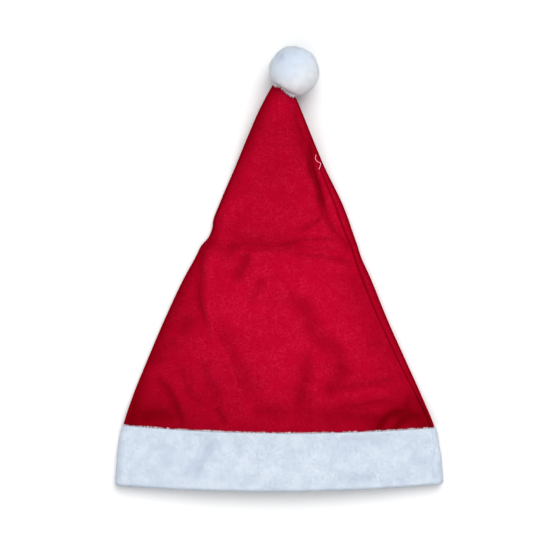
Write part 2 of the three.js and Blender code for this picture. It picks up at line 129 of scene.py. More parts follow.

# Each fold: the points it runs through, its height as a share of fold_depth, the widths of
# its two flanks as shares of fold_width, the radius of its crest in millimetres and how
# much shade is painted along it; below 0 this lightens the felt, a painted highlight. The
# first flank is on the left of the way the line runs.
folds = {
    "packing crease": (
        ((-0.175, 0.606), (-0.142, 0.606), (-0.057, 0.603), (0.032, 0.604), (0.110, 0.604)),
        -1.3, 2.2, 0.4, 1.0, 0.35),
    "press by the notch": (
        ((-0.235, 0.620), (-0.190, 0.605), (-0.130, 0.585)), -0.4, 1.0, 0.8, 4, 0.35),
    "fan, upper": (
        ((-0.020, 0.603), (0.069, 0.618), (0.130, 0.624), (0.190, 0.621)), -0.5, 0.25, 0.2, 0.4, 0.2),
    "fan, middle": (
        ((0.032, 0.605), (0.120, 0.597), (0.200, 0.588)), -0.3, 0.2, 0.15, 0.4, 0.0),
    "fan, lower": (
        ((-0.040, 0.596), (0.101, 0.582), (0.190, 0.569), (0.240, 0.560)), -0.6, 0.5, 0.25, 0.4, 0.2),
    "fan, top": (
        ((0.040, 0.642), (0.095, 0.657), (0.126, 0.676), (0.145, 0.700)), -0.5, 0.35, 0.3, 0.6, 0.3),
    "tip, right": (
        ((0.032, 0.990), (0.049, 0.930), (0.068, 0.880), (0.083, 0.810)), -0.5, 0.3, 0.9, 3, 0.3),
    "seam pocket, top": (
        ((0.082, 0.895), (0.093, 0.857), (0.100, 0.805), (0.122, 0.754), (0.136, 0.704), (0.156, 0.662)),
        -1.6, 0.4, 0.45, 0.8, 0.45),
    "seam pocket, low": (
        ((0.142, 0.690), (0.161, 0.654), (0.205, 0.614), (0.235, 0.576)), -0.8, 0.45, 0.35, 0.8, 0.2),
    "left ridge, top": (
        ((-0.208, 0.616), (-0.221, 0.561), (-0.229, 0.503), (-0.229, 0.452), (-0.216, 0.400)),
        0.6, 0.7, 0.5, 1.5, -0.1),
    "left ridge, low": (
        ((-0.230, 0.427), (-0.199, 0.377), (-0.164, 0.322), (-0.139, 0.267), (-0.114, 0.208)),
        0.8, 0.4, 0.7, 1.5, -0.15),
    "fold by the left ridge": (
        ((-0.205, 0.655), (-0.232, 0.612), (-0.246, 0.578), (-0.254, 0.523), (-0.254, 0.473),
         (-0.236, 0.417), (-0.205, 0.355)), -0.7, 0.35, 0.9, 1.2, 0.35),
    "valley by the left ridge": (
        ((-0.222, 0.440), (-0.192, 0.397), (-0.155, 0.347), (-0.126, 0.292), (-0.095, 0.239),
         (-0.057, 0.183)), -0.8, 1.6, 0.8, 3, 0.3),
    "short valley, left": (
        ((-0.101, 0.596), (-0.117, 0.560), (-0.142, 0.510)), -0.9, 0.6, 0.8, 2.5, 0.4),
    "short valley, middle": (
        ((-0.055, 0.530), (-0.073, 0.496), (-0.101, 0.456)), -0.5, 0.4, 0.5, 1.5, 0.25),
    "hooked valley": (
        ((-0.057, 0.466), (0.009, 0.470), (0.066, 0.458), (0.090, 0.425), (0.113, 0.377), (0.164, 0.349),
         (0.198, 0.307), (0.194, 0.270), (0.175, 0.235)), -0.75, 1.2, 1.1, 4, 0.35),
    "hooked ridge": (
        ((-0.032, 0.490), (0.032, 0.498), (0.092, 0.485), (0.134, 0.440), (0.160, 0.397), (0.210, 0.367),
         (0.246, 0.327)), 0.5, 1.2, 0.8, 3, -0.05),
    "wedge": (
        ((0.100, 0.348), (0.086, 0.300), (0.076, 0.259), (0.063, 0.219), (0.054, 0.160)),
        -0.9, 0.5, 1.3, 2.2, 0.4),
    "wedge ridge": (
        ((0.125, 0.345), (0.112, 0.290), (0.108, 0.235), (0.092, 0.180)), 0.6, 0.6, 0.3, 1, -0.1),
    "ripple, upper": (
        ((0.110, 0.244), (0.219, 0.249), (0.310, 0.261), (0.370, 0.268)), -0.7, 1.0, 0.4, 1, 0.25),
    "ripple, lower": (
        ((0.160, 0.203), (0.260, 0.203), (0.310, 0.213), (0.380, 0.210)), -0.7, 0.5, 0.4, 1, 0.15),
    "low right": (
        ((0.110, 0.190), (0.220, 0.184), (0.345, 0.171)), -0.3, 0.9, 1.2, 4, 0.3),
    "corner fold, inner": (
        ((0.285, 0.085), (0.304, 0.135), (0.325, 0.166), (0.350, 0.183), (0.386, 0.190), (0.425, 0.196)),
        -0.5, 0.65, 0.5, 0.8, 0.80),
    "corner fold, outer": (
        ((0.338, 0.138), (0.370, 0.156), (0.402, 0.176), (0.455, 0.180)), -0.45, 0.5, 0.4, 0.8, 0.60),
    "corner fold, top": (
        ((0.416, 0.242), (0.404, 0.214), (0.391, 0.196)), -0.4, 0.5, 0.5, 1.5, 0.2),
    "dent below the hook": (
        ((0.205, 0.315), (0.172, 0.264), (0.140, 0.215)), -0.4, 1.0, 1.0, 4, 0.25),
    "cone dent": (
        ((-0.160, 0.775), (-0.115, 0.752), (-0.060, 0.745)), -0.3, 0.9, 0.9, 5, 0.12),
    "cone bulge": (
        ((-0.200, 0.690), (-0.170, 0.702), (-0.140, 0.706)), 0.3, 0.9, 0.9, 5, -0.1),
    "dent by the seam": (
        ((0.268, 0.352), (0.297, 0.359), (0.328, 0.362)), -0.35, 0.5, 0.4, 1.5, 0.15),
    "left corner, inner": (
        ((-0.410, 0.300), (-0.378, 0.267), (-0.350, 0.239), (-0.331, 0.209), (-0.312, 0.171),
         (-0.306, 0.120)), -0.75, 0.4, 0.6, 1.2, 0.3),
    "left corner, low": (
        ((-0.450, 0.165), (-0.410, 0.182), (-0.365, 0.184), (-0.322, 0.165)), -0.6, 0.7, 0.8, 2.5, 0.25),
    "left corner, short": (
        ((-0.312, 0.300), (-0.300, 0.262), (-0.285, 0.230)), -0.4, 0.5, 0.5, 1.5, 0.2),
    "left side dent": (
        ((-0.287, 0.437), (-0.299, 0.407), (-0.320, 0.377)), -0.5, 0.8, 0.9, 3, 0.25),
    "left side, low": (
        ((-0.322, 0.377), (-0.368, 0.342), (-0.402, 0.302)), -0.5, 0.9, 0.9, 4, 0.2),
    "lower left": (
        ((-0.346, 0.347), (-0.284, 0.284), (-0.236, 0.221), (-0.236, 0.160)), -0.2, 1.5, 1.5, 6, 0.12),
    "foot of the wedge": (
        ((0.092, 0.246), (0.088, 0.200), (0.079, 0.140)), -0.2, 0.8, 0.8, 4, 0.12),
    "small dent, left": (
        ((-0.252, 0.330), (-0.233, 0.284), (-0.205, 0.241), (-0.186, 0.190)), -0.4, 0.7, 0.7, 3, 0.3),
    "crease by the band, left": (
        ((-0.300, 0.256), (-0.277, 0.231), (-0.246, 0.201)), -0.4, 0.4, 0.5, 1.5, 0.15),
    "dent by the band, left": (
        ((-0.202, 0.206), (-0.186, 0.181), (-0.168, 0.153)), -0.5, 0.4, 0.5, 1.2, 0.3),
    "dent by the band, middle": (
        ((-0.095, 0.186), (-0.032, 0.191), (0.032, 0.181)), -0.4, 0.9, 0.9, 4, 0.2),
    "crest by the notch": (
        ((-0.205, 0.640), (-0.235, 0.520), (-0.215, 0.420), (-0.155, 0.290), (-0.090, 0.120)),
        0.65, 4.0, 3.0, 25, 0),
    "puff behind the band": (
        ((-0.420, 0.310), (-0.150, 0.330), (0.150, 0.330), (0.400, 0.310)), 0.75, 5.0, 3.0, 25, 0),
}

# How far the felt reaches past the end of the cone, across the tip from left to right
tip_edge = np.array([
    (0.00, 0.2), (0.08, 0.9), (0.20, 1.9), (0.38, 2.1),
    (0.47, 0.7), (0.70, -0.2), (0.85, -0.5), (1.00, -0.3),
])
tip_edge_from = 0.965


def smooth(share):
    share = np.clip(share, 0, 1)
    return share * share * (3 - 2 * share)


def fading(distance, reach):
    """1 at no distance, and next to nothing at twice the reach."""
    return np.exp(-(distance / reach) ** 2)


def curve_through(x, y, at):
    """Smooth curve through the table's points, straight past its ends."""
    run, slope = np.diff(x), np.diff(y) / np.diff(x)
    inner = (slope[:-1] * run[1:] + slope[1:] * run[:-1]) / (run[:-1] + run[1:])
    tangent = np.concatenate(([slope[0]], inner, [slope[-1]]))
    i = np.clip(np.searchsorted(x, at, side="right") - 1, 0, len(x) - 2)
    t = (at - x[i]) / run[i]
    inside = (y[i] * (1 + 2 * t) * (1 - t) ** 2 + y[i + 1] * t * t * (3 - 2 * t)
              + run[i] * (tangent[i] * t * (1 - t) ** 2 - tangent[i + 1] * t * t * (1 - t)))
    below = y[0] + slope[0] * (at - x[0])
    above = y[-1] + slope[-1] * (at - x[-1])
    return np.where(at <= x[0], below, np.where(at >= x[-1], above, inside))


def spline(points, steps=24):
    """Points evenly spaced in share along a smooth line through a few points."""
    points = np.array(points, float)
    last = len(points) - 1
    place = np.linspace(0, last, steps + 1)
    i = np.minimum(place.astype(int), last - 1)
    t = (place - i)[:, None]
    before, here = points[np.maximum(i - 1, 0)], points[i]
    there, after = points[i + 1], points[np.minimum(i + 2, last)]
    v0, v1 = (there - before) / 2, (after - here) / 2
    return ((2 * here - 2 * there + v0 + v1) * t ** 3
            + (-3 * here + 3 * there - 2 * v0 - v1) * t ** 2 + v0 * t + here)


def folded(table, x, y):
    """Height that a table of folds adds at each place on the front, and how much shade is
    painted there."""
    added, pressed = np.zeros_like(x), np.zeros_like(x)
    for line, height, left_flank, right_flank, crest, press in table.values():
        path = spline(line) * (crown_width, crown_length)
        steps = len(path) - 1
        nearest = np.full_like(x, np.inf)
        along, side = np.zeros_like(x), np.zeros_like(x)
        for i in range(steps):
            (ax, ay), (dx, dy) = path[i], path[i + 1] - path[i]
            t = np.clip(((x - ax) * dx + (y - ay) * dy) / (dx * dx + dy * dy), 0, 1)
            distance = np.hypot(x - ax - dx * t, y - ay - dy * t)
            closer = distance < nearest
            nearest = np.where(closer, distance, nearest)
            along = np.where(closer, (i + t) / steps, along)
            side = np.where(closer, dx * (y - ay) - dy * (x - ax), side)
        flank = fold_width * np.where(side > 0, left_flank, right_flank)
        ends = smooth(along / fold_end) * smooth((1 - along) / fold_end)
        shape = ends * np.exp(-2 * (np.hypot(nearest, crest) - crest) / flank)
        added += fold_depth * height * shape
        pressed += press * shape
    return added, pressed


def section_at(at):
    """Sizes of the crown at an array of shares of its length, each as a column."""
    value = {name: curve_through(sections[:, 0], sections[:, i], at) for i, name in enumerate(SECTION)}
    value |= {name: np.interp(at, *np.transpose(pairs)) for name, pairs in along_crown.items()}
    left = np.stack([value["left_x"] * crown_width, value["left_y"] * crown_length], -1)
    right = np.stack([value["right_x"] * crown_width, value["right_y"] * crown_length], -1)
    width = np.linalg.norm(right - left, axis=-1)
    up = at * crown_length
    bend = side_bend + felt + hem_room * (1 - smooth((up - hem_height) / hem_fade))
    over_band = 1 - smooth((up - band_height) / band_settle)
    to_tip = smooth((up - crown_length + tip_lift_length) / tip_lift_length)
    tip_half = felt + hollow_height * sections[-1, SECTION.index("hollow")] / 2
    value |= {
        "left": left,
        "width": width,
        "across": (right - left) / width[:, None],
        "sag": value["sag"] * crown_length,
        "bend": bend,
        "bulge": hollow_height * value["hollow"] - 2 * side_bend,
        "base": band_wall * over_band + (tip_middle - tip_half) * to_tip,
        "seam": np.maximum(value["seam"] * seam_inset, bend + seam_room),
        "groove": seam_depth * np.clip(value["groove"], 0, 1),
        "above_band": smooth((up - band_height) / fold_free_hem),
        "tip": smooth((at - tip_edge_from) / (1 - tip_edge_from)),
        "up": up,
    }
    return {name: column if column.ndim == 2 else column[:, None] for name, column in value.items()}


def edge_rise(share):
    """How far both sides rise, at shares of the width."""
    return edge_lift * np.maximum(0, (np.abs(2 * share - 1) - edge_start) / (1 - edge_start)) ** 2


def pressed_front(s, front):
    """How much shade is painted on the front: at its sides and lower corners, along its seam,
    above the band and over the whole front.
    """
    from_right = s["width"] - front
    past_seam = from_right - s["seam"]
    left = left_edge_shade * fading(front, left_edge_reach)
    left = left + s["flank"] * fading(front, left_edge_reach + flank_spread * s["width"])
    strip = s["strip"] * (1 - smooth((past_seam + 0.3) / 1.5))
    strip = strip + right_edge_shade * fading(from_right, right_edge_reach)
    strip = strip + s["beside"] * smooth(past_seam / 2) * fading(past_seam, beside_reach)
    strip = strip + groove_shade * np.clip(s["groove"], 0, 1) * fading(past_seam, groove_reach)
    corners = left_corner_shade * fading(front, left_corner_reach)
    corners = corners + right_corner_shade * fading(from_right, right_corner_reach)
    low = 1 - smooth((s["up"] - band_height) / low_reach)
    return left + strip + (corners + low_shade) * low + s["pressed"]


def crown_points(at):
    """Rows of points on the outside of the crown: over the front from right to left,
    round the left bend, back underneath and round the right bend. Also how many of them lie
    on the front, and how much shade is painted at each point."""
    s = section_at(at)
    width, bend, seam = s["width"], s["bend"], s["seam"]
    # Between the groove and a bend close to it, the points stand closer together
    room = np.minimum(1, (seam - bend - 0.15) / beside_seam[-1])
    near_seam = seam + np.where(beside_seam < 0, beside_seam * room, beside_seam)
    first = bend + (near_seam[:, :1] - bend) * np.linspace(0, 1, 4)[None, :-1]
    rest = np.linspace(0, 1, front_steps)[None, 1:-1]
    past_seam = near_seam[:, -1:] + (width - bend - near_seam[:, -1:]) * rest
    front = width - np.concatenate([first, near_seam, past_seam], 1)
    flat = width - 2 * bend
    share = np.clip((front - bend) / flat, 0, 1)
    front_z = 2 * bend + s["bulge"] * np.sin(np.pi * share) ** s["fullness"] + edge_rise(share)

    turn = np.pi * np.arange(bend_steps)[None] / bend_steps
    left_x = bend - bend * np.sin(turn)
    left_z = bend + bend * np.cos(turn) + edge_lift
    back_share = np.arange(back_steps)[None] / back_steps
    back_x = bend + flat * back_share
    back_z = edge_rise(back_share) + np.zeros_like(back_x)
    right_x = width - bend + bend * np.sin(turn)
    right_z = bend - bend * np.cos(turn) + edge_lift

    reach = np.concatenate([front, left_x, back_x, right_x], 1)
    height = np.concatenate([front_z, left_z, back_z, right_z], 1)
    across, left = s["across"], s["left"]
    bow = 4 * (reach / width) * (1 - reach / width)
    x = left[:, :1] + across[:, :1] * reach
    y = left[:, 1:] + across[:, 1:] * reach - s["sag"] * bow
    past = s["tip"] * np.interp(reach / width, tip_edge[:, 0], tip_edge[:, 1])
    x, y = x - across[:, 1:] * past, y + across[:, :1] * past

    n = front.shape[1]
    added, folds_pressed = folded(folds, x[:, :n], y[:, :n])
    # Painted shade: the bends at both sides and the back underneath are painted dark all over
    pressed = np.full_like(height, back_shade)
    pressed[:, :n] = np.clip(pressed_front(s, front) + folds_pressed, 0, 1)
    inside_edge = smooth(np.minimum(front - bend, width - bend - front) / fold_free_edge)
    height[:, :n] += added * inside_edge * s["above_band"]
    height[:, :n] = np.maximum(height[:, :n], 2 * felt + back_room)
    height[:, :n] -= s["groove"] * fading(width - front - seam, seam_width)
    return np.stack([x, y, s["base"] + height], -1), n, pressed


def offset_rows(at, offset):
    """Those rows of points, moved out along the felt's own normals."""
    step = 0.5 / crown_length
    rows, n, pressed = crown_points(at)
    along = crown_points(at + step)[0] - crown_points(at - step)[0]
    ahead = np.roll(rows, -1, 1) - rows
    ahead /= np.linalg.norm(ahead, axis=-1, keepdims=True)
    normal = np.cross(along, ahead + np.roll(ahead, 1, 1))
    normal /= np.linalg.norm(normal, axis=-1, keepdims=True)
    return rows + normal * np.asarray(offset)[:, None, None], normal, n, pressed


def lofted(rows, closed):
    """Vertices and faces of the surface through rows of points, each row a ring."""
    count, around = rows.shape[:2]
    strips = count if closed else count - 1
    r, i = np.meshgrid(np.arange(strips), np.arange(around), indexing="ij")
    a, b = r * around + i, r * around + (i + 1) % around
    below = (r + 1) % count
    faces = np.stack([a, b, below * around + (i + 1) % around, below * around + i], -1)
    return rows.reshape(-1, 3), faces.reshape(-1, 4).tolist()


def finished_mesh(name, points, faces, material):
    """A smooth-shaded object in metres, at the origin, with its place in its mesh."""
    mesh = bpy.data.meshes.new(name)
    mesh.from_pydata((np.asarray(points) / 1000).tolist(), [], faces)
    mesh.polygons.foreach_set("use_smooth", np.ones(len(mesh.polygons), bool))
    mesh.materials.append(material)
    mesh.update()
    made = bpy.data.objects.new(name, mesh)
    bpy.context.scene.collection.objects.link(made)
    return made


def give_points(made, name, values):
    """Gives each point of a mesh a named value, or a vector, for its material or its pile."""
    values = np.asarray(values, float)
    kind, field = ("FLOAT_VECTOR", "vector") if values.shape[-1] == 3 else ("FLOAT", "value")
    made.data.attributes.new(name, kind, "POINT").data.foreach_set(field, values.ravel())


def roughness_of_cloth(points, size, seed):
    """Even random height from about -1 to 1 at each point, with bumps of a given size."""
    shift = Vector((seed * 13.7, seed * 7.1, seed * 3.3))
    heights = [noise.fractal(Vector(p) / size + shift, 1.0, 2.0, 3) for p in points.reshape(-1, 3)]
    return np.reshape(heights, points.shape[:-1])


class Value:
    """One output of a material's nodes, so that shader maths is written as Python maths."""

    def __init__(self, shader, socket):
        self.shader, self.socket = shader, socket

    def maths(self, operation, first, second=0.0):
        return self.shader.node("Math", {"operation": operation}, {0: first, 1: second})

    def __add__(self, other):
        return self.maths("ADD", self, other)

    __radd__ = __add__

    def __sub__(self, other):
        return self.maths("SUBTRACT", self, other)

    def __rsub__(self, other):
        return self.maths("SUBTRACT", other, self)

    def __mul__(self, other):
        return self.maths("MULTIPLY", self, other)

    __rmul__ = __mul__


class Shader:
    """A material and its nodes."""

    def __init__(self, name):
        self.material = bpy.data.materials.new(name)
        self.material.use_nodes = True
        self.tree = self.material.node_tree
        self.tree.nodes.clear()

    def node(self, kind, settings=None, sockets=None, output=0):
        """Adds a node: its settings first, then the values or links of its sockets."""
        made = self.tree.nodes.new("ShaderNode" + kind)
        for name, value in (settings or {}).items():
            setattr(made, name, value)
        for name, value in (sockets or {}).items():
            if isinstance(value, Value):
                self.tree.links.new(value.socket, made.inputs[name])
            else:
                made.inputs[name].default_value = value
        return Value(self, made.outputs[output])

    def noise(self, size, detail=3.0, roughness=0.5, stretch=None):
        """Noise whose bumps are about a size in metres."""
        where = self.node("TexCoord", output="Object")
        if stretch:
            where = self.node("Mapping", {"vector_type": "POINT"}, {"Vector": where, "Scale": stretch})
        return self.node("TexNoise", None, {
            "Vector": where, "Scale": 1 / size, "Detail": detail, "Roughness": roughness})

    def between(self, value, low, high):
        """0 below low, 1 above high, smooth between."""
        return self.node("MapRange", {"interpolation_type": "SMOOTHSTEP"}, {
            "Value": value, "From Min": low, "From Max": high})

    def mix(self, factor, first, second, blend="MIX"):
        settings = {"data_type": "RGBA", "blend_type": blend}
        return self.node("Mix", settings, {0: factor, 6: first, 7: second}, 2)

    def clouded(self, size, first, second):
        """Two colours in soft clouds of a size in metres."""
        return self.mix(self.between(self.noise(size, 4.0, 0.6), 0.35, 0.65), first, second)

    def attribute(self, name):
        return self.node("Attribute", {"attribute_name": name}, output="Fac")

    def bump(self, height, strength, distance):
        return self.node("Bump", None, {"Height": height, "Strength": strength, "Distance": distance})

    def finish(self, sockets):
        surface = self.node("BsdfPrincipled", None, sockets)
        out = self.tree.nodes.new("ShaderNodeOutputMaterial")
        self.tree.links.new(surface.socket, out.inputs["Surface"])
        return self.material


# The felt: matted red fibres, with paler ones lying on top and thinner places between. Shade
# is painted on it as a darker, duller tint with fewer pale flecks.
deep_red = (0.455, 0.0028, 0.040, 1)
mid_red = (0.503, 0.0038, 0.047, 1)
pale_red = (0.71, 0.057, 0.133, 1)
painted_shade_tint = (0.48, 0.15, 0.28, 1)
sheen_red = (1.0, 0.10, 0.16, 1)
shader = Shader("red_felt")
cloud = shader.noise(0.030, 2.0, 0.5)
matting = shader.noise(0.0040, 3.0, 0.6)
fibre = shader.noise(0.0011, 3.0, 0.6, (1.0, 0.4, 1.0))
matted = shader.between(shader.noise(0.012, 2.0, 0.6), 0.40, 0.58)
pressed_share = shader.attribute("pressed")
fleck = shader.between(shader.noise(0.0017, 4.0, 0.8), 0.42, 0.66)
fleck = fleck * (matted * 0.6 + 0.4) * (1.0 - pressed_share * 0.8)
red = shader.mix(shader.between(cloud * 0.4 + matting * 0.6, 0.36, 0.64), deep_red, mid_red)
red = shader.mix(fleck * 0.42, red, pale_red)
# Painted shade: darker and duller where shade is painted on the felt
red = shader.mix(pressed_share, red, shader.mix(1.0, red, painted_shade_tint, "MULTIPLY"))
red_felt = shader.finish({
    "Base Color": red, "Roughness": 0.95, "Normal": shader.bump(matting * 0.6 + fibre * 0.4, 0.25, 0.0005),
    "Specular IOR Level": 0.03, "Sheen Weight": 0.10, "Sheen Roughness": 0.6, "Sheen Tint": sheen_red})

# The rows run up the outside from the hem to the tip, and the wall is filled inward
outside_rows, inside_rows = 232, 68
outside_at = np.linspace(0, 1, outside_rows)
inside_at = np.linspace(0, 1 - felt / crown_length, inside_rows)
outer, outward, front_count, pressed = offset_rows(outside_at, np.zeros(outside_rows))
inner, _, _, inner_pressed = offset_rows(inside_at, np.full(inside_rows, -felt))

# Soft dents and fine puckers that no table of folds lists, fading out towards the tip, the
# band and the points next to both bends
rumple_size, rumple_height = 26, 0.7
pucker_size, pucker_height = 7, 0.16
calm_tip = 12
rumple = rumple_height * roughness_of_cloth(outer, rumple_size, 1)
pucker = pucker_height * roughness_of_cloth(outer, pucker_size, 2)
free = smooth((outside_at * crown_length - band_height) / fold_free_edge)
free = free * smooth((1 - outside_at) * crown_length / calm_tip)
front_only = np.zeros(outer.shape[1])
front_only[4:front_count - 2] = 1
outer = outer + outward * ((rumple + pucker) * np.outer(free, front_only))[..., None]

crown_rows = np.concatenate([outer[::-1], inner])
crown_vertices, crown_faces = lofted(crown_rows, False)
around = crown_rows.shape[1]
ring_points = len(crown_vertices)
caps = [crown_rows[0].mean(0), crown_rows[-1].mean(0)]
crown_vertices = np.concatenate([crown_vertices, caps])
for i in range(around):
    j = (i + 1) % around
    crown_faces.append([ring_points, j, i])
    crown_faces.append([ring_points + 1, ring_points - around + i, ring_points - around + j])

# The tables have their origin at the hem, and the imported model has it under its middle
cad_low, cad_high = (np.array(corner) * 1000 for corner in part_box("crown"))
made_low, made_high = crown_vertices.min(0), crown_vertices.max(0)
to_frame = np.array([
    (cad_low[0] + cad_high[0] - made_low[0] - made_high[0]) / 2, cad_low[1] - made_low[1], 0])
crown = finished_mesh("felt_crown", crown_vertices + to_frame, crown_faces, red_felt)
# Each point carries its share of painted shade, which the felt's colour reads
give_points(crown, "pressed", np.concatenate([pressed[::-1].ravel(), inner_pressed.ravel(), [0, 0]]))
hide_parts("crown")
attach(crown, "root")

# Band
# A strip of short-piled plush, sewn flat round the brim with its cut edge at the top and
# its hem turned up inside. The pile is brushed down and dented in places, and shade is
# painted darker in its dents and on its turned ends.

hem_thickness = 1.4
side_thinning = 1.8
side_reach = 5
lump_size, lump_height = 15, 0.55
nub_size, nub_height = 4.5, 0.16
off_table = 1.5

# Its dents, in the same columns as the crown's folds, the last column being how much shade
# is painted along each. The fold at the left end only has shade painted along it.
band_dents = {
    "long dent, left": (
        ((-0.215, 0.130), (-0.225, 0.095), (-0.250, 0.060), (-0.280, 0.005)), -0.4, 0.5, 0.6, 1.5, 0.9),
    "fold at the end, left": (
        ((-0.488, 0.135), (-0.500, 0.075), (-0.512, 0.015), (-0.515, -0.02)), 0, 0.35, 0.35, 1.5, 0.45),
    "short dent, left": (((-0.265, 0.075), (-0.290, 0.045), (-0.315, 0.020)), -0.25, 0.5, 0.6, 2, 0.5),
    "end dent, left": (((-0.335, 0.105), (-0.355, 0.075), (-0.345, 0.045)), -0.3, 0.9, 0.9, 4, 0.5),
    "short dent, middle": (((-0.122, 0.120), (-0.130, 0.095), (-0.120, 0.075)), -0.2, 0.4, 0.4, 2, 0.5),
    "dent, right": (((0.193, 0.115), (0.265, 0.118), (0.346, 0.115)), -0.3, 0.6, 0.6, 3, 0.5),
    "end dent, right": (((0.410, 0.090), (0.450, 0.065), (0.480, 0.050)), -0.4, 0.9, 0.9, 4, 0.6),
    "low dent, right": (((0.204, 0.020), (0.254, 0.024), (0.305, 0.022)), -0.3, 0.6, 0.6, 3, 0.6),
}

# A darker white, painted on the strip as shade and used for the pile's veins
shade_and_vein_white = (0.50, 0.55, 0.65, 1)
shader = Shader("band_plush")
white = shader.clouded(0.011, (0.605, 0.664, 0.747, 1), (0.675, 0.73, 0.80, 1))
# Painted shade: the strip turns to that darker white where shade is painted on it
white = shader.mix(shader.attribute("pressed"), white, shade_and_vein_white)
nap = shader.noise(0.0016, 3.0, 0.6, (1.0, 0.5, 1.0))
band_plush = shader.finish({
    "Base Color": white, "Roughness": 0.9, "Normal": shader.bump(nap, 0.3, 0.0006),
    "Specular IOR Level": 0.2,
    "Sheen Weight": 0.35, "Sheen Roughness": 0.4, "Sheen Tint": (0.93, 0.96, 1.0, 1)})

# The cross-section, from the inside of the top edge over the front of the strip, round
# the hem and up inside: height above the hem, and distance out from the felt's outside
band_top = band_height - clearance - band_thickness
cut_edge = [(0, 0), (0.05, 0.5), (0, 1.0), (-0.2, 1.6), (-0.6, 2.05), (-1.3, 2.35)]
face_height = np.linspace(band_top - 2.2, 0, 40)
inner_out = -felt - clearance - hem_thickness
roll = np.radians(np.linspace(-78, 78, 11))
roll_middle, roll_half = (band_wall + inner_out) / 2, (band_wall - inner_out) / 2
profile = np.array([
    *[(band_top + up, clearance + out) for up, out in cut_edge],
    *[(height, band_wall) for height in face_height],
    *[(-band_wall * math.cos(a), roll_middle - roll_half * math.sin(a)) for a in roll],
    *[(height, inner_out) for height in np.linspace(0, hem_height - 0.6, 7)],
    (hem_height, inner_out + 0.5), (hem_height, -felt - clearance), (0, -felt - clearance),
    (-clearance, -felt - 0.3 * clearance), (-clearance, 0.3 * clearance),
    *[(height, clearance) for height in np.linspace(0, band_top - 5, 9)],
])
outside_profile = len(cut_edge) + len(face_height) + len(roll)
band_rows, band_normal, band_front, _ = offset_rows(profile[:, 0] / crown_length, profile[:, 1])
band_ends = np.stack([band_rows[..., 0].min(1), band_rows[..., 0].max(1)])[..., None]
# The strip is folded sharper than the felt at its sides, most at its top
over_top = smooth(profile[:, :1] / band_top) * (profile[:, 1:] > clearance + 0.9)
side_turn = fading(np.minimum(*np.abs(band_rows[..., 0] - band_ends)), side_reach)
band_rows = band_rows - band_normal * (side_thinning * over_top * side_turn)[..., None]
dent, band_pressed = folded(band_dents, band_rows[..., 0], band_rows[..., 1])
dent[:, band_front:] = 0
# Shade is painted on the front and the turned ends, not on the back
band_pressed[:, band_front + bend_steps:-bend_steps] = 0
lumps = lump_height * roughness_of_cloth(band_rows, lump_size, 3)
nubs = nub_height * roughness_of_cloth(band_rows, nub_size, 4)
uneven = (dent + lumps + nubs) * smooth((band_rows[..., 2] - off_table) / 3)
uneven[:3] = 0
uneven[outside_profile:] = 0
band_rows = band_rows + band_normal * uneven[..., None]
band_rows[..., 2] = np.maximum(band_rows[..., 2], 0)
band_vertices, band_faces = lofted(band_rows, True)
band = finished_mesh("plush_band", band_vertices + to_frame, band_faces, band_plush)
# Each point carries its share of painted shade, which the strip's colour reads
give_points(band, "pressed", np.clip(band_pressed, 0, 1).ravel())
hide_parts("band")
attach(band, "root")


